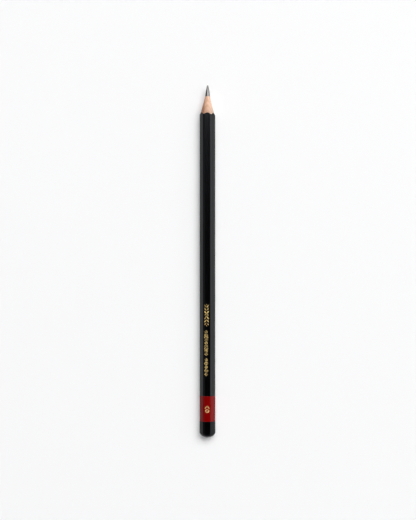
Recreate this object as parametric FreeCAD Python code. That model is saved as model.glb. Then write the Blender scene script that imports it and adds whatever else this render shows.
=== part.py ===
import FreeCAD, Part
import math
import os

from FreeCAD import Vector

# A wood-cased graphite pencil with a hexagonal barrel, lying on one of its flats.
# +X runs along the pencil to its point, +Y is on the left when facing the point, and +Z is up.
# The origin is under the middle of the pencil, on the surface that it lies on.

# The whole pencil
LENGTH = 175.0
POINT_X = LENGTH / 2
BUTT_X = -LENGTH / 2

# The lacquered barrel. The slats' joint runs through the two corners at its sides.
BARREL_FLATS = 6.9
JOINT_CORNER_RADIUS = 0.9
OTHER_CORNER_RADIUS = 1.3
WOOD_JOINT_RADIUS = 2.0  # the bare wood's corners at the joint, which the lacquer fills out

# The lead and the glue that holds it
LEAD_DIAMETER = 2.35
GLUE_SLEEVE = 0.04
SLAT_GLUE = 0.06

# The coats, from the wood outwards
PRIMER_COAT = 0.04
LACQUER_COAT = 0.10
RED_DIP_COAT = 0.04
BLACK_DIP_COAT = 0.045
DIP_BITE = 0.03  # how deep the dips' solvent eats into the lacquer

# The dipped end
RED_DIP_LENGTH = 20.7
BLACK_DIP_LENGTH = 8.1
DOME_RADIUS = 5.0
RED_DOME_COAT = 0.12  # the dips run together and dry thicker on the end
BLACK_DOME_COAT = 0.30

# The sharpened end: the cone leans towards -Y, as a hand sharpener leaves it, and flares at its
# shoulder, where the wood and the lacquer break away from the knife. The lead is worn blunt.
CONE_HALF_ANGLE = 14.3
CONE_LEAN = 0.73
POINT_OFFSET = -0.11
POINT_RADIUS = 0.32
APEX_BACK = 0.89  # how far behind the point the wood's cone would end if it were drawn on
FLARE_RADIUS = 3.2  # where the flare begins, out from the cone's axis
FLARE_HALF_ANGLE = 24.0

# The gold foil, pressed into the coat under it
FOIL = 0.02
FOIL_DEPTH = 0.025
STROKE = 0.3
STAMP_WIDTH = 1.86
STAMP_Y = 0.63
LAUREL_Y = 0.43

# The ornaments' lengths along the pencil
LOZENGE_LENGTH = 1.8
BEAD_LENGTH = 1.5
REEL_LENGTH = 0.9
REEL_WIDTH = 1.7
LEAF_LENGTH = 1.7
LEAF_WIDTH = 0.55
LEAF_PITCH = 1.5
LEAF_PAIRS = 3  # on each side of the bead
LEAF_SPREAD = 38.0  # degrees from the pencil's axis
STALK_GAP = 0.17
DOT_RADIUS = 0.2

# Where each stamp's middle lies, measured from the point, and how long the stamp is
FRONT_STAMP = (114.1, 11.0)
MIDDLE_STAMP = (127.94, 12.8)
REAR_STAMP = (139.9, 9.0)
BAND_STAMP = (160.8, 3.3)
BAND_RING_LENGTH = 1.7
BAND_RING_WIDTH = 2.05
BAND_STROKE = 0.36
BAND_Y = 0.12

# Sizes that follow from those above
RED_PROUD = RED_DIP_COAT - DIP_BITE
BLACK_PROUD = RED_PROUD + BLACK_DIP_COAT
AXIS_Z = BARREL_FLATS / 2 + BLACK_PROUD
RED_BUTT_X = BUTT_X + BLACK_DOME_COAT
WOOD_BUTT_X = RED_BUTT_X + RED_DOME_COAT
RED_FRONT_X = BUTT_X + RED_DIP_LENGTH
BLACK_FRONT_X = BUTT_X + BLACK_DIP_LENGTH
BARREL_TOP_Z = AXIS_Z + BARREL_FLATS / 2
BAND_TOP_Z = BARREL_TOP_Z + RED_PROUD
LEAD_RADIUS = LEAD_DIAMETER / 2
GROOVE_RADIUS = LEAD_RADIUS + GLUE_SLEEVE
REACH = 10.0  # more than the barrel's half-width, for shapes that cut right across it


def coated(section, coat):
    """A hexagonal section with a coat added all round, or taken off where the coat is negative."""
    flats, joint_radius, other_radius = section
    return (flats + 2 * coat, joint_radius + coat, other_radius + coat)


# Hexagonal sections: across flats, then the radius at the joint's corners and at the other four
BARREL_SECTION = (BARREL_FLATS, JOINT_CORNER_RADIUS, OTHER_CORNER_RADIUS)
BARE_FLATS, _, BARE_OTHER_RADIUS = coated(BARREL_SECTION, -PRIMER_COAT - LACQUER_COAT)
WOOD_SECTION = (BARE_FLATS, WOOD_JOINT_RADIUS, BARE_OTHER_RADIUS)
PRIMER_SECTION = coated(WOOD_SECTION, PRIMER_COAT)
UNDER_DIP_SECTION = coated(BARREL_SECTION, -DIP_BITE)
RED_SECTION = coated(BARREL_SECTION, RED_PROUD)
BLACK_SECTION = coated(BARREL_SECTION, BLACK_PROUD)


def along_x(start, end):
    """The vector from one place on the axis to another."""
    return Vector(end - start, 0, 0)


def hexagon_wire(x, section):
    """A rounded hexagon at x, with flats at top and bottom."""
    flats, joint_radius, other_radius = section

    def corner_point(corner_angle, turn):
        radius = joint_radius if corner_angle % 180 == 0 else other_radius
        reach = (flats / 2 - radius) / math.cos(math.radians(30))
        across = math.radians(corner_angle)
        outwards = math.radians(corner_angle + turn)
        y = reach * math.cos(across) + radius * math.cos(outwards)
        z = reach * math.sin(across) + radius * math.sin(outwards)
        return Vector(x, y, AXIS_Z + z)

    edges = []
    for corner_angle in range(0, 360, 60):
        start = corner_point(corner_angle, -30)
        end = corner_point(corner_angle, 30)
        next_start = corner_point(corner_angle + 60, -30)
        edges.append(Part.Arc(start, corner_point(corner_angle, 0), end).toShape())
        edges.append(Part.LineSegment(end, next_start).toShape())
    return Part.Wire(edges)


def hexagon_bar(section, start=BUTT_X, end=POINT_X):
    """A length of bar with a hexagonal section."""
    return Part.Face(hexagon_wire(start, section)).extrude(along_x(start, end))


def round_bar(radius):
    """A round bar on the pencil's axis, from end to end."""
    return Part.makeCylinder(radius, LENGTH, Vector(BUTT_X, 0, AXIS_Z), Vector(1, 0, 0))


def nose_profile():
    """Places along the lead's worn nose: how far each is behind the point, and out from the cone's axis.

    The first two are the middle and end of the round tip, the others those of the long bulge behind it."""
    half_angle = math.radians(CONE_HALF_ANGLE)
    turn = (math.pi / 2 - half_angle) / 2
    bend = (POINT_RADIUS * (1 - math.cos(turn)), POINT_RADIUS * math.sin(turn))
    touch = (POINT_RADIUS * (1 - math.sin(half_angle)), POINT_RADIUS * math.cos(half_angle))
    edge = (APEX_BACK + LEAD_RADIUS / math.tan(half_angle), LEAD_RADIUS)
    run = edge[0] - touch[0]
    rise = edge[1] - touch[1]
    slope = math.atan2(rise, run)
    bulge = math.hypot(run, rise) / 2 * math.tan((half_angle - slope) / 2)
    belly_back = touch[0] + run / 2 - bulge * math.sin(slope)
    belly_out = touch[1] + rise / 2 + bulge * math.cos(slope)
    return bend, touch, (belly_back, belly_out), edge


def point_form():
    """The space inside the sharpener's cone, open towards the butt, with the lead's worn nose."""
    lean = math.radians(CONE_LEAN)
    backwards = Vector(-math.cos(lean), math.sin(lean), 0)
    sideways = Vector(math.sin(lean), math.cos(lean), 0)
    tip = Vector(POINT_X, POINT_OFFSET, AXIS_Z)

    def place(back, out):
        return tip + backwards * back + sideways * out

    bend, touch, belly, lead_edge = (place(back, out) for back, out in nose_profile())
    shoulder_back = APEX_BACK + FLARE_RADIUS / math.tan(math.radians(CONE_HALF_ANGLE))
    shoulder = place(shoulder_back, FLARE_RADIUS)
    far_back = LENGTH + REACH
    far_out = FLARE_RADIUS + (far_back - shoulder_back) * math.tan(math.radians(FLARE_HALF_ANGLE))
    edges = [
        Part.Arc(tip, bend, touch).toShape(),
        Part.Arc(touch, belly, lead_edge).toShape(),
        Part.LineSegment(lead_edge, shoulder).toShape(),
        Part.LineSegment(shoulder, place(far_back, far_out)).toShape(),
        Part.LineSegment(place(far_back, far_out), place(far_back, 0)).toShape(),
        Part.LineSegment(place(far_back, 0), tip).toShape(),
    ]
    return Part.Face(Part.Wire(edges)).revolve(tip, backwards, 360)


def dome_form(end_x):
    """The space inside a domed butt whose end is at end_x, open towards the point."""
    centre_x = end_x + DOME_RADIUS
    far_x = POINT_X + REACH
    slant = DOME_RADIUS * math.cos(math.radians(45))
    end = Vector(end_x, 0, AXIS_Z)
    bend = Vector(centre_x - slant, slant, AXIS_Z)
    side = Vector(centre_x, DOME_RADIUS, AXIS_Z)
    far_side = Vector(far_x, DOME_RADIUS, AXIS_Z)
    far_end = Vector(far_x, 0, AXIS_Z)
    edges = [
        Part.Arc(end, bend, side).toShape(),
        Part.LineSegment(side, far_side).toShape(),
        Part.LineSegment(far_side, far_end).toShape(),
        Part.LineSegment(far_end, end).toShape(),
    ]
    return Part.Face(Part.Wire(edges)).revolve(end, Vector(1, 0, 0), 360)


def shaped(shape):
    """A piece of the bar after both ends are formed: sharpened in front and domed behind."""
    return shape.common(point_form()).common(dome_form(WOOD_BUTT_X))


def half_space(low_z, high_z):
    """A slab as long and wide as the bar, between two heights above its axis."""
    size_z = high_z - low_z
    corner = Vector(BUTT_X, -REACH, AXIS_Z + low_z)
    return Part.makeBox(LENGTH, 2 * REACH, size_z, corner)


def graphite_lead():
    return shaped(round_bar(LEAD_RADIUS))


def lead_glue_sleeve():
    return shaped(round_bar(GROOVE_RADIUS).cut(round_bar(LEAD_RADIUS)))


def grooved_wood():
    """Both slats and the glue between them, before they are told apart."""
    return hexagon_bar(WOOD_SECTION).cut(round_bar(GROOVE_RADIUS))


def slat_upper():
    return shaped(grooved_wood().common(half_space(SLAT_GLUE / 2, REACH)))


def slat_lower():
    return shaped(grooved_wood().common(half_space(-REACH, -SLAT_GLUE / 2)))


def glue_line(side):
    """The glue film between the slats on one side of the lead: 1 is left and -1 is right."""
    film = grooved_wood().common(half_space(-SLAT_GLUE / 2, SLAT_GLUE / 2))
    side_y = 0 if side > 0 else -REACH
    one_side = Part.makeBox(LENGTH, REACH, BARREL_FLATS, Vector(BUTT_X, side_y, 0))
    return shaped(film.common(one_side))


def primer_coat():
    return shaped(hexagon_bar(PRIMER_SECTION).cut(hexagon_bar(WOOD_SECTION)))


def black_lacquer():
    """The lacquer, thinner where the dips cover it, with beds pressed into it by the foil stamps."""
    exposed = hexagon_bar(BARREL_SECTION, RED_FRONT_X, POINT_X)
    dipped = hexagon_bar(UNDER_DIP_SECTION, BUTT_X, RED_FRONT_X)
    coat = exposed.fuse(dipped).cut(hexagon_bar(PRIMER_SECTION))
    beds = [bed for stamp in barrel_stamps().values() for bed in foil_beds(stamp, BARREL_TOP_Z)]
    return shaped(coat).cut(Part.makeCompound(beds))


def dipped_end(section, end_x, front_x):
    """The dipped end of the pencil as one solid, out to the given section and end."""
    return hexagon_bar(section, BUTT_X, front_x).common(dome_form(end_x))


def red_dip_coat():
    core = dipped_end(UNDER_DIP_SECTION, WOOD_BUTT_X, RED_FRONT_X)
    coat = dipped_end(RED_SECTION, RED_BUTT_X, RED_FRONT_X).cut(core)
    return coat.cut(Part.makeCompound(foil_beds(band_stamp(), BAND_TOP_Z)))


def black_end_dip():
    core = dipped_end(RED_SECTION, RED_BUTT_X, RED_FRONT_X)
    return dipped_end(BLACK_SECTION, BUTT_X, BLACK_FRONT_X).cut(core)


# The foil stamps are rows of flat outlines. Each outline is drawn about the place (x, y).


def polygon(points):
    """A flat face with the given corners."""
    corners = [Vector(x, y, 0) for x, y in points]
    return Part.Face(Part.makePolygon(corners + corners[:1]))


def diamond(x, y, half_long, half_wide):
    return polygon([(x + half_long, y), (x, y + half_wide), (x - half_long, y), (x, y - half_wide)])


def oval(x, y, half_long, half_wide):
    """An oval face that is wider across the pencil than along it."""
    outline = Part.Ellipse(Vector(x, y + half_wide, 0), Vector(x + half_long, y, 0), Vector(x, y, 0))
    return Part.Face(Part.Wire(outline.toShape()))


def dot(x, y):
    outline = Part.Circle(Vector(x, y, 0), Vector(0, 0, 1), DOT_RADIUS)
    return Part.Face(Part.Wire(outline.toShape()))


def oval_ring(x, y, length, width, stroke):
    half_long = length / 2
    half_wide = width / 2
    return oval(x, y, half_long, half_wide).cut(oval(x, y, half_long - stroke, half_wide - stroke))


def lozenge(x, y):
    """A diamond outline with an even stroke, and a dot in it."""
    half_long = LOZENGE_LENGTH / 2
    half_wide = STAMP_WIDTH / 2
    side = math.hypot(half_long, half_wide)
    inner = 1 - STROKE * side / (half_long * half_wide)
    outline = diamond(x, y, half_long, half_wide).cut(diamond(x, y, half_long * inner, half_wide * inner))
    return [outline, dot(x, y)]


def bead(x, y):
    """An oval ring with a dot in it."""
    return [oval_ring(x, y, BEAD_LENGTH, STAMP_WIDTH, STROKE), dot(x, y)]


def reel(x, y):
    """Two short strokes across the stamp."""
    half_wide = REEL_WIDTH / 2
    strokes = []
    for edge in (x - REEL_LENGTH / 2, x + REEL_LENGTH / 2 - STROKE):
        corners = [(edge, y - half_wide), (edge + STROKE, y - half_wide)]
        corners += [(edge + STROKE, y + half_wide), (edge, y + half_wide)]
        strokes.append(polygon(corners))
    return strokes


def leaf(x, y, angle):
    """A pointed leaf that starts at its stalk at (x, y) and grows at an angle to the X axis."""
    along = Vector(math.cos(math.radians(angle)), math.sin(math.radians(angle)), 0)
    across = Vector(-along.y, along.x, 0)
    stalk = Vector(x, y, 0)
    tip = stalk + along * LEAF_LENGTH
    belly = stalk + along * (LEAF_LENGTH / 2)
    one_side = Part.Arc(stalk, belly + across * (LEAF_WIDTH / 2), tip).toShape()
    other_side = Part.Arc(tip, belly - across * (LEAF_WIDTH / 2), stalk).toShape()
    return Part.Face(Part.Wire([one_side, other_side]))


def leaf_pair(x, y, side):
    """Two leaves that open away from x, towards +X for side 1 and -X for side -1."""
    turn = 0 if side > 0 else 180
    stalk_y = STALK_GAP / 2
    return [
        leaf(x, y + stalk_y, turn + side * LEAF_SPREAD),
        leaf(x, y - stalk_y, turn - side * LEAF_SPREAD),
    ]


def row_of(motifs, stamp):
    """Motifs in a row that fills a stamp's length. Each is given with its own length."""
    from_point, stamp_length = stamp
    motif_length = sum(length for _, length in motifs)
    gap = (stamp_length - motif_length) / (len(motifs) - 1)
    x = POINT_X - from_point - stamp_length / 2
    faces = []
    for motif, length in motifs:
        faces += motif(x + length / 2, STAMP_Y)
        x += length + gap
    return faces


def laurel_stamp():
    """A bead between two sprays of leaves, each spray with a dot at its end."""
    from_point, stamp_length = FRONT_STAMP
    middle = POINT_X - from_point
    faces = bead(middle, LAUREL_Y)
    for side in (-1, 1):
        first = BEAD_LENGTH / 2
        for number in range(LEAF_PAIRS):
            faces += leaf_pair(middle + side * (first + number * LEAF_PITCH), LAUREL_Y, side)
        faces.append(dot(middle + side * (stamp_length / 2 - DOT_RADIUS), LAUREL_Y))
    return faces


def barrel_stamps():
    """The three stamps on the barrel's upper flat, by node."""
    lozenge_part = (lozenge, LOZENGE_LENGTH)
    bead_part = (bead, BEAD_LENGTH)
    reel_part = (reel, REEL_LENGTH)
    middle_row = [lozenge_part, reel_part, bead_part, reel_part] * 2 + [lozenge_part]
    rear_row = [lozenge_part, bead_part] * 2 + [lozenge_part]
    return {
        "gold_frieze_front": laurel_stamp(),
        "gold_frieze_middle": row_of(middle_row, MIDDLE_STAMP),
        "gold_frieze_rear": row_of(rear_row, REAR_STAMP),
    }


def band_stamp():
    """A flower on the red band: a broad ring with a dot in it, under two drooping leaves."""
    from_point, stamp_length = BAND_STAMP
    middle = POINT_X - from_point
    ring_x = middle - stamp_length / 2 + BAND_RING_LENGTH / 2
    ring = oval_ring(ring_x, BAND_Y, BAND_RING_LENGTH, BAND_RING_WIDTH, BAND_STROKE)
    return [ring, dot(ring_x, BAND_Y)] + leaf_pair(middle + stamp_length / 2, BAND_Y, -1)


def pressed(faces, bottom_z, height):
    """Solids with the faces' outlines, standing on the height bottom_z."""
    solids = []
    for face in faces:
        raised = face.copy()
        raised.translate(Vector(0, 0, bottom_z))
        solids += raised.extrude(Vector(0, 0, height)).Solids
    return solids


def foil_beds(faces, surface_z):
    """The hollows that a stamp presses into a surface."""
    return pressed(faces, surface_z - FOIL_DEPTH, REACH)


def foil(faces, surface_z):
    """The foil that lies in a stamp's hollows."""
    return Part.makeCompound(pressed(faces, surface_z - FOIL_DEPTH, FOIL))


def pieces():
    """Every piece of the pencil by its node name."""
    found = {
        "graphite_lead": graphite_lead(),
        "lead_glue_sleeve": lead_glue_sleeve(),
        "slat_upper": slat_upper(),
        "slat_lower": slat_lower(),
        "glue_line_left": glue_line(1),
        "glue_line_right": glue_line(-1),
        "primer_coat": primer_coat(),
        "black_lacquer": black_lacquer(),
        "red_dip_coat": red_dip_coat(),
        "black_end_dip": black_end_dip(),
        "gold_band_mark": foil(band_stamp(), BAND_TOP_Z),
    }
    for name, faces in barrel_stamps().items():
        found[name] = foil(faces, BARREL_TOP_Z)
    return found


def main():
    os.makedirs("parts", exist_ok=True)
    for name, shape in pieces().items():
        Part.makeCompound(shape.Solids).exportStep(f"parts/{name}.step")
        print(name, "solids", len(shape.Solids), "volume", round(shape.Volume, 4))


main()
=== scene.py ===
import math

import bmesh
import bpy
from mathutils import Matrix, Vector, noise


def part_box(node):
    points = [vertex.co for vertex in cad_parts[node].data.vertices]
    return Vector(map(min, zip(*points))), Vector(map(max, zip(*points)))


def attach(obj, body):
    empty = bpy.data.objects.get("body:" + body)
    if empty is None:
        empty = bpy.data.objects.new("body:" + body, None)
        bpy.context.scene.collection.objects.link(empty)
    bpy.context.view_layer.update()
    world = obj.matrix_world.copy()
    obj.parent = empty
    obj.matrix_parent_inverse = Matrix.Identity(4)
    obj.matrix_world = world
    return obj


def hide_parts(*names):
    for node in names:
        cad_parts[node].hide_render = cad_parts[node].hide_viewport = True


# A hexagonal graphite pencil that lies on one flat. +X runs to its point and +Z is up.
# Lengths are in metres and angles in radians. A turn is an angle about the pencil's axis, from +Y to +Z.

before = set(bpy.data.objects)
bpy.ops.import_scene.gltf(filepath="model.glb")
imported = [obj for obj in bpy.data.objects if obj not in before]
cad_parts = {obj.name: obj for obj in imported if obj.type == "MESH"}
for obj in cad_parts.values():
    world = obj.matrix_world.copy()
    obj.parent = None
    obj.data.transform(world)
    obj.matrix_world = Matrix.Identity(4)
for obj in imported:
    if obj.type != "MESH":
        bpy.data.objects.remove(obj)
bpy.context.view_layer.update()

MM = 0.001
NOISE_SEED = 1
noise.seed_set(NOISE_SEED)  # without it the foil's worn edges would differ from run to run


def box_size(node):
    low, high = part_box(node)
    return high - low


def coated(section, coat):
    """A hexagonal section with a coat added all round."""
    flats, joint_radius, other_radius = section
    return (flats + 2 * coat, joint_radius + coat, other_radius + coat)


# The bar and its coats, read from the frame where it shows them. A hexagonal section is its width across
# flats, its radius at the two side corners, where the slats join, and its radius at the other corners.
lacquer_low, lacquer_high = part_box("black_lacquer")
AXIS_Z = (lacquer_low.z + lacquer_high.z) / 2
BARREL_FLATS = box_size("black_lacquer").z
JOINT_CORNER_RADIUS = 0.9 * MM
OTHER_CORNER_RADIUS = 1.3 * MM
WOOD_JOINT_RADIUS = 2.0 * MM
PRIMER_COAT = 0.04 * MM
LACQUER_COAT = 0.10 * MM
RED_COAT = (box_size("red_dip_coat").z - BARREL_FLATS) / 2
BLACK_COAT = (box_size("black_end_dip").z - BARREL_FLATS) / 2
DIP_BITE = 0.03 * MM  # how far the red dip reaches into the barrel's lacquer
BARREL = (BARREL_FLATS, JOINT_CORNER_RADIUS, OTHER_CORNER_RADIUS)
BARE_FLATS, _, BARE_OTHER_RADIUS = coated(BARREL, -PRIMER_COAT - LACQUER_COAT)
WOOD = (BARE_FLATS, WOOD_JOINT_RADIUS, BARE_OTHER_RADIUS)
PRIMER = coated(WOOD, PRIMER_COAT)
UNDER_DIP = coated(BARREL, -DIP_BITE)
RED = coated(BARREL, RED_COAT)
BLACK = coated(BARREL, BLACK_COAT)
LEAD_RADIUS = 1.175 * MM
GROOVE_RADIUS = 1.215 * MM
HALF_SLAT_GAP = 0.03 * MM  # from the middle plane to each slat

# Places along the bar, read from the frame
POINT_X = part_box("graphite_lead")[1].x
BUTT_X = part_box("black_end_dip")[0].x
BLACK_FRONT_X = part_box("black_end_dip")[1].x
RED_FRONT_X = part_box("red_dip_coat")[1].x
RED_BUTT_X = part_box("red_dip_coat")[0].x
WOOD_BUTT_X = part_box("graphite_lead")[0].x

# The ends
DOME_RADIUS = 5.0 * MM
DOME_EDGE = 0.75 * MM  # how far the corner between the sides and the dome is rounded
CONE_HALF_ANGLE = math.radians(14.3)
CONE_LEAN = math.radians(0.73)
POINT_OFFSET = -0.11 * MM
POINT_RADIUS = 0.32 * MM
APEX_BACK = 0.89 * MM  # how far behind the worn point the wood's cone would end
FLARE_RADIUS = 3.2 * MM  # where the cone's flared shoulder begins
FLARE_HALF_ANGLE = math.radians(24)
FLARE_BACK = APEX_BACK + FLARE_RADIUS * (1 / math.tan(CONE_HALF_ANGLE) - 1 / math.tan(FLARE_HALF_ANGLE))

# How finely the pieces are divided, and the angles above which their edges stay sharp
FLAT_COLUMNS = 12
CORNER_COLUMNS = 10
ROUND_COLUMNS = 144
SLAT_FLAT_COLUMNS = 24
SLAT_CORNER_COLUMNS = 20
SLAT_STEPS = (4, 70)
SLEEVE_STEPS = (4, 6)
BARREL_STEPS = (150, 8)
INSIDE_STEPS = 6
BUTT_STEPS = 3
NOSE_STEPS = 60
TIP_STEPS = 8
DIP_INNER_DOME_STEPS = 4
DIP_INSIDE_STEPS = 3
LIP_INNER_STEPS = 5
LIP_OUTER_STEPS = 6
DIP_OUTSIDE_STEPS = 16
DIP_EDGE_STEPS = 8
DIP_DOME_STEPS = 14
SOFT = math.radians(40)
CRISP = math.radians(11)  # less than the cone's slope, so that the knife's edge shows

# Small reliefs: the length that each varies over, its fineness round the bar, and its height
TORN_FIBRE = (2.5 * MM, 9, 0.011 * MM)
SLOW_SWELL = (22 * MM, 1.5, 0.006 * MM)
QUICK_SWELL = (5 * MM, 5, 0.0015 * MM)
LEAD_MARKS = (0.12 * MM, 1.5, 0.004 * MM)

# The blade's chatter runs round the cone as a fine screw, and a dip ends in a low bead
CHATTER_PITCH = 0.35 * MM
CHATTER_HEIGHT = 0.003 * MM
CHATTER_PLACE = (7.3, 2.1)  # which line of the noise the chatter follows
BEAD_SPREAD = 0.35 * MM
BEAD_HEIGHT = 0.004 * MM

DIP_WANDER = 0.03 * MM  # how far a dip line strays from its place
HIDDEN_LAP = 0.02 * MM  # how much further each dip's inside reaches, out of sight
LIP_NOTCH = 0.9  # how far forward the inner half of a dip's lip comes, as a share of its wall
TIP_WEAR = 0.08  # how unevenly the tip is worn, as a share of its radius
TIP_WEAR_FINENESS = 1.3
NOSE_FADE = 8  # how steeply the lead's marks fade in and out at the ends of its nose


# Shapes


def between(start, end, steps):
    """Evenly spaced numbers from start up to but not including end."""
    return [start + (end - start) * step / steps for step in range(steps)]


def circle(radius):
    """A round outline, as its radius in every direction."""
    return lambda turn: radius


def corner_radius(section, side):
    """The radius of the corner in direction 60 times side degrees."""
    return section[1] if side % 3 == 0 else section[2]


def hexagon(section):
    """A rounded hexagon with flats at top and bottom, as its radius in every direction."""
    flats = section[0]

    def radius(turn):
        side = round(math.degrees(turn) / 60)
        from_corner = turn - math.radians(60 * side)
        corner = corner_radius(section, side)
        reach = (flats / 2 - corner) / math.cos(math.radians(30))
        from_flat = math.radians(30) - abs(from_corner)
        if math.tan(from_flat) * flats / 2 <= (flats / 2 - corner) * math.tan(math.radians(30)):
            return flats / 2 / math.cos(from_flat)
        off = reach * math.sin(from_corner)
        return reach * math.cos(from_corner) + math.sqrt(corner**2 - off**2)

    return radius


def hexagon_turns(section, flat_columns=FLAT_COLUMNS, corner_columns=CORNER_COLUMNS):
    """Directions that divide a rounded hexagon's flats and corners evenly, once round from +Y."""
    half = section[0] / 2
    edges = []
    for side in range(7):
        corner = corner_radius(section, side)
        flat_edge = math.radians(30) - math.atan((half - corner) * math.tan(math.radians(30)) / half)
        middle = math.radians(60 * side)
        edges.append((middle - flat_edge, middle + flat_edge))
    turns = []
    for side in range(6):
        before, after = edges[side]
        next_before = edges[side + 1][0]
        turns += between(before, after, corner_columns)
        turns += between(after, next_before, flat_columns)
    return turns


def round_turns():
    return [2 * math.pi * step / ROUND_COLUMNS for step in range(ROUND_COLUMNS)]


def bar_noise(x, turn, length, fineness, shift=0):
    """A smooth random number on the bar, from -1 to 1. A shift gives another one at the same place."""
    return noise.noise(Vector((x / length, math.cos(turn) * fineness, math.sin(turn) * fineness + shift)))


def cone_relief(x, turn):
    """How far the sharpened cone stands out of true: long fibres torn by the blade, and its chatter."""
    length, fineness, height = TORN_FIBRE
    fibre = bar_noise(x, turn, length, fineness)
    chatter = noise.noise(Vector((x / CHATTER_PITCH + turn, *CHATTER_PLACE)))
    return height * fibre + CHATTER_HEIGHT * chatter


def cone_meets(radius, turn, half_angle, apex_back):
    """Where a line along the bar, at this radius and turn, meets a cone about the sharpener's axis."""
    apex_x = POINT_X - apex_back * math.cos(CONE_LEAN)
    apex_y = POINT_OFFSET + apex_back * math.sin(CONE_LEAN)
    off_y = radius * math.cos(turn) - apex_y
    off_z = radius * math.sin(turn)
    spread = math.cos(half_angle) ** 2
    a = math.cos(CONE_LEAN) ** 2 - spread
    b = -2 * off_y * math.cos(CONE_LEAN) * math.sin(CONE_LEAN)
    c = (off_y * math.sin(CONE_LEAN)) ** 2 - spread * (off_y**2 + off_z**2)
    return apex_x + (-b - math.sqrt(b * b - 4 * a * c)) / (2 * a)


def cone_x(radius, turn):
    """Where a line along the bar, at this radius and turn, meets the sharpened end or its flare."""
    straight = cone_meets(radius, turn, CONE_HALF_ANGLE, APEX_BACK)
    flared = cone_meets(radius, turn, FLARE_HALF_ANGLE, FLARE_BACK)
    x = max(straight, flared)
    return x + cone_relief(x, turn) / math.tan(CONE_HALF_ANGLE)


def dome_x(end_x):
    """The domed butt that ends at end_x, as its place along the bar at a radius and turn."""
    return lambda radius, turn: end_x + DOME_RADIUS - math.sqrt(DOME_RADIUS**2 - radius**2)


def on_bar(x, radius, turn):
    return Vector((x, radius * math.cos(turn), AXIS_Z + radius * math.sin(turn)))


def mesh_piece(name, columns, closed=True, poles=False, sharp_above=SOFT):
    """A closed shell from columns of points. Each column runs round the piece's cut section.

    When closed, the columns go all the way round the bar. With poles, they share their first and
    last points."""
    shell = bmesh.new()
    rows = len(columns[0])
    if poles:
        first = shell.verts.new(columns[0][0])
        last = shell.verts.new(columns[0][-1])
        grid = [[first] + [shell.verts.new(p) for p in column[1:-1]] + [last] for column in columns]
    else:
        grid = [[shell.verts.new(point) for point in column] for column in columns]
    pairs = list(zip(grid, grid[1:]))
    if closed:
        pairs.append((grid[-1], grid[0]))
    for left, right in pairs:
        for row in range(rows - 1 if poles else rows):
            after = (row + 1) % rows
            corners = [left[row], left[after], right[after], right[row]]
            shell.faces.new(list(dict.fromkeys(corners)))
    if not closed:
        shell.faces.new(grid[0])
        shell.faces.new(grid[-1])
    bmesh.ops.recalc_face_normals(shell, faces=shell.faces)
    mesh = bpy.data.meshes.new(name)
    shell.to_mesh(mesh)
    shell.free()
    mesh.shade_smooth()
    mesh.set_sharp_from_angle(angle=sharp_above)
    piece = bpy.data.objects.new(name, mesh)
    bpy.context.collection.objects.link(piece)
    return piece


def finish_piece(piece, slot, material, *nodes):
    """Give a piece its material and its body, and hide the CAD nodes that it stands for. Its slot is not
    used.
    """
    piece.data.materials.append(material)
    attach(piece, "root")
    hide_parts(*nodes)


def lacquer_swell(x, turn):
    """The slow rise and fall that brushed-on coats leave along the bar."""
    slow_length, slow_fineness, slow_height = SLOW_SWELL
    quick_length, quick_fineness, quick_height = QUICK_SWELL
    slow = bar_noise(x, turn, slow_length, slow_fineness)
    quick = bar_noise(x, turn, quick_length, quick_fineness, shift=4)
    return slow_height * slow + quick_height * quick


def sharpened_sleeve(turn, inner, outer, swell, steps):
    """One cut section of a sleeve of the bar, from the domed butt to the sharpened cone.

    The steps are how many there are along the outside, and how many across the cut."""
    along, cut = steps
    r_in = inner(turn)
    r_out = outer(turn)
    back = dome_x(WOOD_BUTT_X)
    section = []
    front_out = cone_x(r_out, turn)
    for x in between(back(r_out, turn), front_out, along):
        section.append(on_bar(x, r_out + (swell(x, turn) if swell else 0), turn))
    for radius in between(r_out, r_in, cut):
        section.append(on_bar(cone_x(radius, turn), radius, turn))
    for x in between(cone_x(r_in, turn), back(r_in, turn), INSIDE_STEPS):
        section.append(on_bar(x, r_in, turn))
    for radius in between(r_in, r_out, BUTT_STEPS):
        section.append(on_bar(back(radius, turn), radius, turn))
    return section


def slat(name, side):
    """Half of the wooden case: side 1 is the upper half and side -1 the lower half."""
    inner = circle(GROOVE_RADIUS)
    outer = hexagon(WOOD)
    joint_margin = 0.02
    all_turns = hexagon_turns(WOOD, SLAT_FLAT_COLUMNS, SLAT_CORNER_COLUMNS)
    turns = [turn for turn in all_turns if joint_margin < turn < math.pi - joint_margin]
    columns = []
    for turn in [0.0] + turns + [math.pi]:
        section = sharpened_sleeve(side * turn, inner, outer, None, SLAT_STEPS)
        if turn in (0.0, math.pi):
            for point in section:
                point.z = AXIS_Z + side * HALF_SLAT_GAP
        columns.append(section)
    return mesh_piece(name, columns, closed=False, sharp_above=CRISP)


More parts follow.
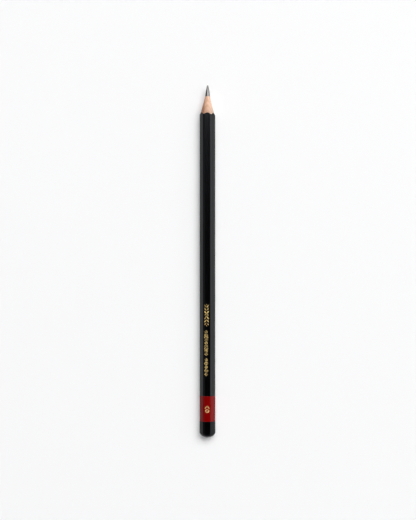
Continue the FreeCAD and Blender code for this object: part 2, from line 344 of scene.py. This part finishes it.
def worn_nose(edge):
    """Places along the lead's nose from its edge to its tip, drawn about the cone's own axis."""
    backwards = Vector((-math.cos(CONE_LEAN), math.sin(CONE_LEAN), 0))
    tip = Vector((POINT_X, POINT_OFFSET, AXIS_Z))
    edge_back = (edge - tip).dot(backwards)
    outwards = edge - tip - backwards * edge_back
    edge_out = outwards.length
    outwards.normalize()
    touch_back = POINT_RADIUS * (1 - math.sin(CONE_HALF_ANGLE))
    touch_out = POINT_RADIUS * math.cos(CONE_HALF_ANGLE)
    slope = math.atan2(edge_out - touch_out, edge_back - touch_back)
    nose_length = math.hypot(edge_out - touch_out, edge_back - touch_back)
    bulge = nose_length / 2 * math.tan((CONE_HALF_ANGLE - slope) / 2)
    length, fineness, height = LEAD_MARKS
    places = []
    for share in between(0, 1, NOSE_STEPS):
        down = edge_back + (touch_back - edge_back) * share
        straight = edge_out + (touch_out - edge_out) * share
        marks = noise.noise(Vector((down / length, outwards.y * fineness, outwards.z * fineness)))
        fade = min(1, NOSE_FADE * share, NOSE_FADE * (1 - share))
        relief = 4 * share * (1 - share) * bulge + height * marks * fade
        places.append(tip + backwards * down + outwards * (straight + relief))
    for bend in between(math.pi / 2 - CONE_HALF_ANGLE, 0, TIP_STEPS):
        wear = 1 + TIP_WEAR * noise.noise(outwards * TIP_WEAR_FINENESS) * (1 - bend)
        down = POINT_RADIUS * (1 - math.cos(bend))
        places.append(tip + backwards * down + outwards * (POINT_RADIUS * math.sin(bend) * wear))
    return places + [tip]


def graphite_lead(name):
    """The lead: a round rod from the domed butt to its worn nose."""
    back = dome_x(WOOD_BUTT_X)
    butt_end = on_bar(back(0, 0), 0, 0)
    columns = []
    for turn in round_turns():
        edge = on_bar(cone_x(LEAD_RADIUS, turn), LEAD_RADIUS, turn)
        rod = between(back(LEAD_RADIUS, turn), edge.x, INSIDE_STEPS)
        side = [on_bar(x, LEAD_RADIUS, turn) for x in rod]
        columns.append([butt_end] + side + worn_nose(edge))
    return mesh_piece(name, columns, poles=True)


def full_sleeve(name, inner, outer, turns, swell=None, steps=SLEEVE_STEPS):
    """A sleeve that goes all the way round the bar, between an inner and an outer outline."""
    columns = [sharpened_sleeve(turn, inner, outer, swell, steps) for turn in turns]
    return mesh_piece(name, columns, sharp_above=CRISP)


def dip_inside(end_x, radius, front_x, turn):
    """The inside of a dip, from the middle of its butt forward to its lip."""
    inside = dome_x(end_x)
    places = [on_bar(inside(0, turn), 0, turn)]
    for out in between(radius / (DIP_INNER_DOME_STEPS + 1), radius, DIP_INNER_DOME_STEPS):
        places.append(on_bar(inside(out, turn), out, turn))
    for x in between(inside(radius, turn), front_x, DIP_INSIDE_STEPS):
        places.append(on_bar(x, radius, turn))
    return places


def dip_lip(front_x, inner, outer, turn):
    """The soft edge at the front of a dip, from its inside round to its outside."""
    wall = outer - inner
    places = []
    for bend in between(0, math.pi / 2, LIP_INNER_STEPS):
        x = front_x - wall + wall * math.sin(bend) * LIP_NOTCH
        places.append(on_bar(x, inner + wall * (1 - math.cos(bend)) * 0.5, turn))
    for bend in between(math.pi / 2, math.pi, LIP_OUTER_STEPS):
        x = front_x - wall + wall * math.sin(bend)
        places.append(on_bar(x, outer - wall * 0.5 * (1 + math.cos(bend)), turn))
    return places


def dip_outside(end_x, radius, front_x, lip_x, turn):
    """The outside of a dip, from its lip back over the rounded edge to the middle of its domed butt."""
    outside = dome_x(end_x)
    edge_x = outside(radius, turn) + DOME_EDGE
    places = []
    for x in between(lip_x, edge_x, DIP_OUTSIDE_STEPS):
        low_bead = BEAD_HEIGHT * math.exp(-(((front_x - x) / BEAD_SPREAD) ** 2))
        places.append(on_bar(x, radius + low_bead + lacquer_swell(x, turn), turn))
    dome_edge = radius - DOME_EDGE
    start = (edge_x, radius + lacquer_swell(edge_x, turn))
    corner = (outside(radius, turn), radius)
    stop = (outside(dome_edge, turn), dome_edge)
    for t in between(0, 1, DIP_EDGE_STEPS):
        near, middle, far = (1 - t) ** 2, 2 * t * (1 - t), t * t
        x = near * start[0] + middle * corner[0] + far * stop[0]
        out = near * start[1] + middle * corner[1] + far * stop[1]
        places.append(on_bar(x, out, turn))
    for out in between(dome_edge, 0, DIP_DOME_STEPS):
        places.append(on_bar(outside(out, turn), out, turn))
    return places + [on_bar(outside(0, turn), 0, turn)]


def dipped_cap(name, inner_section, inner_end, section, outer_end, front_x):
    """A dipped end: a cup whose wall runs forward to a slightly wandering line."""
    inner = hexagon(inner_section)
    outer = hexagon(section)
    columns = []
    for turn in hexagon_turns(section):
        r_in = inner(turn) - HIDDEN_LAP
        r_out = outer(turn)
        wander = noise.noise(Vector((math.cos(turn), math.sin(turn), front_x / MM)))
        line = front_x + DIP_WANDER * wander
        lip_x = line - (r_out - r_in)
        column = dip_inside(inner_end, r_in, lip_x, turn)
        column += dip_lip(line, r_in, r_out, turn)
        column += dip_outside(outer_end, r_out, line, lip_x, turn)
        columns.append(column)
    return mesh_piece(name, columns, poles=True)


# The foil ornament. Each outline is a list of (x, y). An outline inside another is a hole in it, and one
# inside a hole is filled again.

STAMP_Y = (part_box("gold_frieze_middle")[0].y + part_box("gold_frieze_middle")[1].y) / 2
STAMP_WIDTH = box_size("gold_frieze_middle").y
STROKE = 0.3 * MM
LOZENGE_LENGTH = 1.8 * MM
BEAD_LENGTH = 1.5 * MM
REEL_LENGTH = 0.9 * MM
REEL_WIDTH = 1.7 * MM
LEAF_LENGTH = 1.7 * MM
LEAF_WIDTH = 0.55 * MM
LEAF_PITCH = 1.5 * MM
LEAF_PAIRS = 3
LEAF_SPREAD = math.radians(38)
STALK_GAP = 0.17 * MM
DOT_RADIUS = 0.2 * MM
BAND_RING_LENGTH = 1.7 * MM
BAND_RING_WIDTH = 2.05 * MM
BAND_STROKE = 0.36 * MM
FOIL_HALF_THICK = 0.006 * MM
FOIL_ROUNDING = 0.004 * MM
FOIL_LIFT = 0.004 * MM  # from the coat to the middle of the foil's thickness
WORN_STEP = 0.07 * MM
WORN_LENGTH = 0.16 * MM
WORN_DEPTH = 0.016 * MM


def oval(x, y, half_long, half_wide):
    steps = 48
    turns = [2 * math.pi * step / steps for step in range(steps)]
    return [(x + half_long * math.cos(turn), y + half_wide * math.sin(turn)) for turn in turns]


def diamond(x, y, half_long, half_wide):
    return [(x + half_long, y), (x, y + half_wide), (x - half_long, y), (x, y - half_wide)]


def oval_ring(x, y, length, width, stroke):
    half_long = length / 2
    half_wide = width / 2
    return [oval(x, y, half_long, half_wide), oval(x, y, half_long - stroke, half_wide - stroke)]


def dot(x, y):
    return [oval(x, y, DOT_RADIUS, DOT_RADIUS)]


def lozenge(x, y):
    half_long = LOZENGE_LENGTH / 2
    half_wide = STAMP_WIDTH / 2
    side = math.hypot(half_long, half_wide)
    inner = 1 - STROKE * side / (half_long * half_wide)
    outline = diamond(x, y, half_long, half_wide)
    return [outline, diamond(x, y, half_long * inner, half_wide * inner)] + dot(x, y)


def bead(x, y):
    return oval_ring(x, y, BEAD_LENGTH, STAMP_WIDTH, STROKE) + dot(x, y)


def reel(x, y):
    half_wide = REEL_WIDTH / 2
    strokes = []
    for edge in (x - REEL_LENGTH / 2, x + REEL_LENGTH / 2 - STROKE):
        corners = [(edge, y - half_wide), (edge + STROKE, y - half_wide)]
        corners += [(edge + STROKE, y + half_wide), (edge, y + half_wide)]
        strokes.append(corners)
    return strokes


def leaf(x, y, angle):
    """A pointed leaf whose stalk is at (x, y)."""
    steps = 14
    sides = []
    for side in (1, -1):
        for step in range(steps):
            share = step / steps if side > 0 else 1 - step / steps
            along = LEAF_LENGTH * share
            across = side * LEAF_WIDTH / 2 * (1 - (2 * share - 1) ** 2)
            sides.append((
                x + along * math.cos(angle) - across * math.sin(angle),
                y + along * math.sin(angle) + across * math.cos(angle),
            ))
    return sides


def leaf_pair(x, y, side):
    turn = 0 if side > 0 else math.pi
    return [
        leaf(x, y + STALK_GAP / 2, turn + side * LEAF_SPREAD),
        leaf(x, y - STALK_GAP / 2, turn - side * LEAF_SPREAD),
    ]


def laurel_outlines(node):
    low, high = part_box(node)
    x, y, _ = (low + high) / 2
    outlines = bead(x, y)
    for side in (-1, 1):
        for number in range(LEAF_PAIRS):
            outlines += leaf_pair(x + side * (BEAD_LENGTH / 2 + number * LEAF_PITCH), y, side)
        outlines += dot(x + side * ((high.x - low.x) / 2 - DOT_RADIUS), y)
    return outlines


def row_outlines(node, motifs):
    """Motifs in a row that fills the node's length. Each is given with its own length."""
    low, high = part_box(node)
    gap = (high.x - low.x - sum(length for _, length in motifs)) / (len(motifs) - 1)
    x = low.x
    outlines = []
    for motif, length in motifs:
        outlines += motif(x + length / 2, STAMP_Y)
        x += length + gap
    return outlines


def band_outlines(node):
    low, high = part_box(node)
    y = (low.y + high.y) / 2
    ring_x = low.x + BAND_RING_LENGTH / 2
    ring = oval_ring(ring_x, y, BAND_RING_LENGTH, BAND_RING_WIDTH, BAND_STROKE)
    return ring + dot(ring_x, y) + leaf_pair(high.x, y, -1)


def worn_outline(points):
    """The outline in short steps, with the slightly broken edge that hot foil leaves."""
    worn = []
    for start, end in zip(points, points[1:] + points[:1]):
        count = max(1, round(math.dist(start, end) / WORN_STEP))
        for number in range(count):
            x = start[0] + (end[0] - start[0]) * number / count
            y = start[1] + (end[1] - start[1]) * number / count
            shift = noise.noise_vector(Vector((x, y, 0)) / WORN_LENGTH) * WORN_DEPTH
            worn.append((x + shift.x, y + shift.y))
    return worn


def foil_piece(name, outlines, surface_z):
    """Foil with these outlines, its face a hair above the coat and its edges rounded over."""
    curve = bpy.data.curves.new(name, "CURVE")
    curve.dimensions = "2D"
    curve.fill_mode = "BOTH"
    curve.extrude = FOIL_HALF_THICK - FOIL_ROUNDING
    curve.bevel_depth = FOIL_ROUNDING
    curve.bevel_resolution = 1
    curve.offset = -FOIL_ROUNDING
    for outline in outlines:
        points = worn_outline(outline)
        spline = curve.splines.new("POLY")
        spline.points.add(len(points) - 1)
        for point, (x, y) in zip(spline.points, points):
            point.co = (x, y, 0, 1)
        spline.use_cyclic_u = True
    outline_object = bpy.data.objects.new(name + "_outline", curve)
    mesh = bpy.data.meshes.new_from_object(outline_object)
    bpy.data.objects.remove(outline_object)
    mesh.name = name
    for vertex in mesh.vertices:
        vertex.co.z += surface_z + FOIL_LIFT
    piece = bpy.data.objects.new(name, mesh)
    bpy.context.collection.objects.link(piece)
    return piece


# Materials


def fill_ramp(node, stops):
    """Give a colour ramp its stops, which are colours or grey levels at places from 0 to 1."""
    elements = node.color_ramp.elements
    while len(elements) < len(stops):
        elements.new(0.5)
    for element, (position, colour) in zip(elements, stops):
        element.position = position
        element.color = (*colour, 1) if isinstance(colour, tuple) else (colour, colour, colour, 1)


class Recipe:
    """A node-based material under construction. Its patterns are in the row frame, in millimetres."""

    def __init__(self, name):
        self.material = bpy.data.materials.new(name)
        self.material.use_nodes = True
        self.tree = self.material.node_tree
        self.shader = self.tree.nodes["Principled BSDF"]
        place = self.tree.nodes.new("ShaderNodeTexCoord")
        self.place = place.outputs["Object"]

    def set(self, **values):
        for name, value in values.items():
            self.shader.inputs[name.replace("_", " ")].default_value = value

    def stretched(self, x, y, z):
        """The place, scaled by so many periods per millimetre each way."""
        mapping = self.tree.nodes.new("ShaderNodeMapping")
        mapping.inputs["Scale"].default_value = (x / MM, y / MM, z / MM)
        self.tree.links.new(self.place, mapping.inputs["Vector"])
        return mapping.outputs["Vector"]

    def noise(self, vector, detail=4.0, roughness=0.5, distortion=0.0):
        texture = self.tree.nodes.new("ShaderNodeTexNoise")
        texture.inputs["Scale"].default_value = 1.0
        texture.inputs["Detail"].default_value = detail
        texture.inputs["Roughness"].default_value = roughness
        texture.inputs["Distortion"].default_value = distortion
        self.tree.links.new(vector, texture.inputs["Vector"])
        return texture.outputs["Fac"]

    def waves(self, vector, distortion, detail=2.0):
        texture = self.tree.nodes.new("ShaderNodeTexWave")
        texture.bands_direction = "Z"
        texture.inputs["Scale"].default_value = 1.0
        texture.inputs["Distortion"].default_value = distortion
        texture.inputs["Detail"].default_value = detail
        self.tree.links.new(vector, texture.inputs["Vector"])
        return texture.outputs["Fac"]

    def fade(self, axis, start, end):
        """A rise from 0 to 1 between two places along an axis, in millimetres."""
        split = self.tree.nodes.new("ShaderNodeSeparateXYZ")
        rise = self.tree.nodes.new("ShaderNodeMapRange")
        rise.inputs["From Min"].default_value = start * MM
        rise.inputs["From Max"].default_value = end * MM
        self.tree.links.new(self.place, split.inputs["Vector"])
        self.tree.links.new(split.outputs[axis], rise.inputs["Value"])
        return rise.outputs["Result"]

    def cut_face(self):
        """1 on faces that look towards the point, as the sharpener's cut does, and 0 along the bar."""
        facing = self.tree.nodes.new("ShaderNodeTexCoord")
        split = self.tree.nodes.new("ShaderNodeSeparateXYZ")
        self.tree.links.new(facing.outputs["Normal"], split.inputs["Vector"])
        return self.ramp(split.outputs["X"], (0.12, 0.0), (0.2, 1.0))

    def ramp(self, factor, *stops):
        node = self.tree.nodes.new("ShaderNodeValToRGB")
        fill_ramp(node, stops)
        self.tree.links.new(factor, node.inputs["Fac"])
        return node.outputs["Color"]

    def mix(self, factor, one, other, blend="MIX"):
        node = self.tree.nodes.new("ShaderNodeMix")
        node.data_type = "RGBA"
        node.blend_type = blend
        for socket, value in (("Factor", factor), ("A", one), ("B", other)):
            target = next(i for i in node.inputs if i.name == socket and i.enabled)
            if isinstance(value, (float, tuple)):
                target.default_value = value if isinstance(value, float) else (*value, 1)
            else:
                self.tree.links.new(value, target)
        return next(o for o in node.outputs if o.enabled)

    def drive(self, socket, output):
        self.tree.links.new(output, self.shader.inputs[socket])

    def bump(self, height, distance, strength=1.0):
        """Relief of so many millimetres, on top of any bump that is already there."""
        node = self.tree.nodes.new("ShaderNodeBump")
        node.inputs["Strength"].default_value = strength
        node.inputs["Distance"].default_value = distance * MM
        self.tree.links.new(height, node.inputs["Height"])
        if self.shader.inputs["Normal"].links:
            earlier = self.shader.inputs["Normal"].links[0].from_socket
            self.tree.links.new(earlier, node.inputs["Normal"])
        self.tree.links.new(node.outputs["Normal"], self.shader.inputs["Normal"])


def lacquer_material(name, dark, light, ior, tint=(1.0, 1.0, 1.0)):
    """Glossy lacquer: streaks from the coating rings, orange peel, and faint handling marks."""
    recipe = Recipe(name)
    streaks = recipe.noise(recipe.stretched(0.01, 2.2, 2.2), detail=3)
    peel = recipe.noise(recipe.stretched(1.1, 1.6, 1.6), detail=2)
    marks = recipe.noise(recipe.stretched(0.35, 3.5, 3.5), detail=6, roughness=0.7)
    recipe.set(IOR=ior, Specular_Tint=(*tint, 1.0))
    recipe.drive("Base Color", recipe.ramp(streaks, (0.3, dark), (0.7, light)))
    gloss = recipe.ramp(marks, (0.35, 0.11), (0.75, 0.17))
    matte = (0.6, 0.6, 0.6)
    recipe.drive("Roughness", recipe.mix(recipe.cut_face(), gloss, matte))
    recipe.bump(streaks, 0.010)
    recipe.bump(peel, 0.0025)
    return recipe.material


# Where the bare wood's colour changes, in millimetres: across it, from a painted highlight that pales the
# lit -Y side to painted shade that darkens and browns the +Y side, and along it towards the lead, from
# darker wood at the shoulder to lighter
PAINTED_LIGHT_ACROSS = (-2.6, 2.6)
SHOULDER_DARKENING_ALONG = (74.0, 77.5)


def wood_material(name):
    """Pale pinkish softwood: growth layers near the slats' plane, long fibres and tiny pores, with
    painted shade on the side turned from the lights and a painted highlight on the lit side.
    """
    recipe = Recipe(name)
    layers = recipe.waves(recipe.stretched(0.012, 0.10, 0.42), 3.2)
    fibres = recipe.noise(recipe.stretched(0.16, 5.5, 5.5), detail=5, roughness=0.62)
    pores = recipe.noise(recipe.stretched(0.9, 14.0, 14.0), detail=2)
    ground = recipe.ramp(layers, (0.15, (0.66, 0.49, 0.38)), (0.85, (0.75, 0.59, 0.485)))
    # Painted light: paler towards -Y, the lit side, as a painted highlight, and darker and browner
    # towards +Y, the side turned from the lights, as painted shade.
    painted_side_light = recipe.ramp(
        recipe.fade("Y", *PAINTED_LIGHT_ACROSS),
        (0.0, (1.0, 1.0, 1.0)),
        (0.3, (0.98, 0.82, 0.72)),
        (0.70, (1.0, 0.78, 0.655)),
        (0.87, (0.70, 0.46, 0.34)),
    )
    # Darker towards the shoulder, lighter towards the lead.
    shoulder_darkening = recipe.ramp(
        recipe.fade("X", *SHOULDER_DARKENING_ALONG),
        (0.0, (0.74, 0.70, 0.67)),
        (1.0, (0.97, 0.97, 0.97)),
    )
    recipe.set(Sheen_Weight=0.22, Sheen_Roughness=0.4)
    grain = recipe.ramp(fibres, (0.30, (0.80, 0.72, 0.66)), (0.62, (1.0, 1.0, 1.0)))
    specks = recipe.ramp(pores, (0.28, (0.84, 0.78, 0.72)), (0.42, (1.0, 1.0, 1.0)))
    toned = recipe.mix(1.0, recipe.mix(1.0, ground, painted_side_light, "MULTIPLY"), shoulder_darkening, "MULTIPLY")
    fibred = recipe.mix(1.0, toned, grain, "MULTIPLY")
    recipe.drive("Base Color", recipe.mix(1.0, fibred, specks, "MULTIPLY"))
    recipe.drive("Roughness", recipe.ramp(fibres, (0.3, 0.72), (0.7, 0.56)))
    recipe.bump(fibres, 0.05)
    recipe.bump(pores, 0.02)
    return recipe.material


def graphite_material(name):
    """Cut graphite: grey with a soft metallic sheen, turned marks from the blade, and dusty patches."""
    recipe = Recipe(name)
    turned = recipe.noise(recipe.stretched(9.0, 0.9, 0.9), detail=4, roughness=0.6)
    dusty = recipe.noise(recipe.stretched(1.1, 1.6, 1.6), detail=5, roughness=0.65)
    recipe.set(Metallic=0.9)
    shade = recipe.ramp(dusty, (0.3, (0.085, 0.083, 0.082)), (0.7, (0.135, 0.132, 0.128)))
    lines = recipe.ramp(turned, (0.3, (0.80, 0.80, 0.81)), (0.6, (1.0, 1.0, 1.0)))
    recipe.drive("Base Color", recipe.mix(1.0, shade, lines, "MULTIPLY"))
    recipe.drive("Roughness", recipe.ramp(dusty, (0.3, 0.18), (0.7, 0.28)))
    recipe.bump(turned, 0.012)
    return recipe.material


def foil_material(name, deep, pale):
    """Hot-stamped gold foil: bright metal with a mottled, slightly rubbed face."""
    recipe = Recipe(name)
    mottle = recipe.noise(recipe.stretched(1.1, 1.1, 1.1), detail=5, roughness=0.65)
    crinkle = recipe.noise(recipe.stretched(7.0, 7.0, 7.0), detail=3)
    recipe.set(Metallic=0.7)
    recipe.drive("Base Color", recipe.ramp(mottle, (0.40, deep), (0.64, pale)))
    recipe.drive("Roughness", recipe.ramp(mottle, (0.3, 0.52), (0.7, 0.34)))
    recipe.bump(crinkle, 0.006)
    return recipe.material


def primer_material(name):
    """The dark undercoat, seen only as a matte line at its cut edge."""
    recipe = Recipe(name)
    filler = recipe.noise(recipe.stretched(3.0, 6.0, 6.0), detail=4)
    shade = recipe.ramp(filler, (0.3, (0.03, 0.028, 0.027)), (0.7, (0.07, 0.065, 0.06)))
    recipe.drive("Base Color", shade)
    recipe.drive("Roughness", recipe.ramp(filler, (0.3, 0.62), (0.7, 0.78)))
    recipe.bump(filler, 0.008)
    return recipe.material


def glue_material(name):
    """Amber wood glue, faintly cloudy."""
    recipe = Recipe(name)
    cloud = recipe.noise(recipe.stretched(0.8, 4.0, 4.0), detail=3)
    recipe.drive("Base Color", recipe.ramp(cloud, (0.3, (0.46, 0.30, 0.17)), (0.7, (0.62, 0.46, 0.30))))
    recipe.drive("Roughness", recipe.ramp(cloud, (0.3, 0.34), (0.7, 0.5)))
    recipe.bump(cloud, 0.006)
    return recipe.material


COOL = (0.90, 0.94, 1.0)
JET = (0.0002, 0.0002, 0.0003)
BLACK_LACQUER = lacquer_material("black_lacquer_gloss", JET, (0.0008, 0.0008, 0.0011), 1.27, COOL)
BLACK_DIP = lacquer_material("black_dip_gloss", JET, (0.0006, 0.0006, 0.0009), 1.20, COOL)
RED_LACQUER = lacquer_material("red_lacquer_gloss", (0.15, 0.0006, 0.0006), (0.20, 0.0014, 0.0012), 1.17)
CASE_WOOD = wood_material("case_wood_grain")
GRAPHITE = graphite_material("graphite_sheen")
BARREL_FOIL = foil_material("barrel_gold_foil", (0.045, 0.026, 0.006), (0.565, 0.40, 0.142))
BAND_FOIL = foil_material("band_gold_foil", (0.18, 0.09, 0.02), (0.86, 0.62, 0.27))
PRIMER_EDGE = primer_material("primer_matte")
GLUE_AMBER = glue_material("glue_amber")


# The pieces

finish_piece(graphite_lead("lead_cone_and_rod"), "graphite", GRAPHITE, "graphite_lead")
finish_piece(
    full_sleeve("lead_bond", circle(LEAD_RADIUS), circle(GROOVE_RADIUS), round_turns()),
    "glue", GLUE_AMBER, "lead_glue_sleeve",
)
finish_piece(slat("upper_slat_grain", 1), "case_wood", CASE_WOOD, "slat_upper")
finish_piece(slat("lower_slat_grain", -1), "case_wood", CASE_WOOD, "slat_lower")
finish_piece(
    full_sleeve("primer_edge", hexagon(WOOD), hexagon(PRIMER), hexagon_turns(PRIMER)),
    "primer", PRIMER_EDGE, "primer_coat",
)
barrel = full_sleeve(
    "barrel_gloss", hexagon(PRIMER), hexagon(BARREL), hexagon_turns(BARREL), lacquer_swell, BARREL_STEPS,
)
finish_piece(barrel, "black_lacquer", BLACK_LACQUER, "black_lacquer")
finish_piece(
    dipped_cap("red_band_gloss", UNDER_DIP, WOOD_BUTT_X, RED, RED_BUTT_X, RED_FRONT_X),
    "red_lacquer", RED_LACQUER, "red_dip_coat",
)
finish_piece(
    dipped_cap("butt_gloss", RED, RED_BUTT_X, BLACK, BUTT_X, BLACK_FRONT_X),
    "black_lacquer", BLACK_DIP, "black_end_dip",
)

lozenge_part = (lozenge, LOZENGE_LENGTH)
bead_part = (bead, BEAD_LENGTH)
reel_part = (reel, REEL_LENGTH)
middle_row = [lozenge_part, reel_part, bead_part, reel_part] * 2 + [lozenge_part]
rear_row = [lozenge_part, bead_part] * 2 + [lozenge_part]
barrel_stamps = {
    "gold_frieze_front": laurel_outlines("gold_frieze_front"),
    "gold_frieze_middle": row_outlines("gold_frieze_middle", middle_row),
    "gold_frieze_rear": row_outlines("gold_frieze_rear", rear_row),
}
for node, outlines in barrel_stamps.items():
    stamp = foil_piece(node + "_foil", outlines, AXIS_Z + BARREL_FLATS / 2)
    finish_piece(stamp, "gold_foil", BARREL_FOIL, node)
band_top_z = AXIS_Z + BARREL_FLATS / 2 + RED_COAT
band_stamp = foil_piece("band_foil", band_outlines("gold_band_mark"), band_top_z)
finish_piece(band_stamp, "gold_foil", BAND_FOIL, "gold_band_mark")

for node in ("glue_line_left", "glue_line_right"):
    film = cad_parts[node]
    film.data.materials.clear()
    film.data.materials.append(GLUE_AMBER)


# The studio

FLOOR_HALF = 4.0
FLOOR_COLOUR = (0.888, 0.89, 0.896)
VIEW_LENGTH = 258.44 * MM  # what the picture's long side takes in, at the height of the pencil's axis
VIEW_CENTRE = (0.67 * MM, -0.27 * MM)


def floor_piece():
    mesh = bpy.data.meshes.new("studio_floor")
    corners = [(-FLOOR_HALF, -FLOOR_HALF), (FLOOR_HALF, -FLOOR_HALF)]
    corners += [(FLOOR_HALF, FLOOR_HALF), (-FLOOR_HALF, FLOOR_HALF)]
    mesh.from_pydata([(x, y, 0) for x, y in corners], [], [(0, 1, 2, 3)])
    floor = bpy.data.objects.new("studio_floor", mesh)
    bpy.context.collection.objects.link(floor)
    paper = bpy.data.materials.new("studio_paper")
    paper.use_nodes = True
    shader = paper.node_tree.nodes["Principled BSDF"]
    shader.inputs["Base Color"].default_value = (*FLOOR_COLOUR, 1)
    shader.inputs["Roughness"].default_value = 1.0
    shader.inputs["Specular IOR Level"].default_value = 0.0
    mesh.materials.append(paper)


def panel_light(name, centre, size, radiance, face=(0, 0, -1)):
    """A rectangular light whose first side runs along X. Its power follows from its face's radiance."""
    light = bpy.data.lights.new(name, "AREA")
    light.shape = "RECTANGLE"
    light.size, light.size_y = size
    light.energy = radiance * math.pi * size[0] * size[1]
    panel = bpy.data.objects.new(name, light)
    bpy.context.collection.objects.link(panel)
    panel.location = centre
    panel.rotation_euler = (math.atan2(face[1], -face[2]), 0, 0)
    panel.visible_camera = False
    return panel


def studio_sky():
    """Dim overhead and pale at the horizon, where it meets the floor."""
    world = bpy.data.worlds.new("studio_sky")
    bpy.context.scene.world = world
    world.use_nodes = True
    nodes = world.node_tree.nodes
    links = world.node_tree.links
    place = nodes.new("ShaderNodeTexCoord")
    split = nodes.new("ShaderNodeSeparateXYZ")
    ramp = nodes.new("ShaderNodeValToRGB")
    fill_ramp(ramp, [(0.0, 0.90), (0.05, 0.60), (0.12, 0.12), (0.96, 0.08), (0.985, 0.03), (1.0, 0.01)])
    links.new(place.outputs["Generated"], split.inputs["Vector"])
    links.new(split.outputs["Z"], ramp.inputs["Fac"])
    links.new(ramp.outputs["Color"], nodes["Background"].inputs["Color"])


def overhead_camera():
    """Straight above the pencil, with its point at the top of the picture."""
    data = bpy.data.cameras.new("overhead_camera")
    data.lens = 120
    data.sensor_width = 36
    camera = bpy.data.objects.new("overhead_camera", data)
    bpy.context.collection.objects.link(camera)
    distance = data.lens / data.sensor_width * VIEW_LENGTH
    camera.location = (*VIEW_CENTRE, AXIS_Z + distance)
    camera.rotation_euler = (0, 0, -math.pi / 2)
    bpy.context.scene.camera = camera


floor_piece()
panel_light("key_softbox", centre=(3.3, -1.9, 6.0), size=(5.16, 7.2), radiance=5.3)
side_softbox = panel_light(
    "side_softbox", centre=(0, -3.0, 1.5), size=(16.0, 3.0), radiance=1.9, face=(0, 1, 0),
)
side_softbox.data.use_shadow = False
side_softbox.visible_glossy = False
side_card = panel_light(
    "side_card", centre=(0, -3.0, 5.5), size=(12.0, 11.0), radiance=3.2, face=(0, 1, 0),
)
side_card.visible_diffuse = False
left_card = panel_light("left_card", centre=(0, 6.3, 6.0), size=(12.0, 11.2), radiance=0.47)
left_card.visible_diffuse = False
studio_sky()
overhead_camera()
bpy.context.scene.view_settings.view_transform = "Standard"
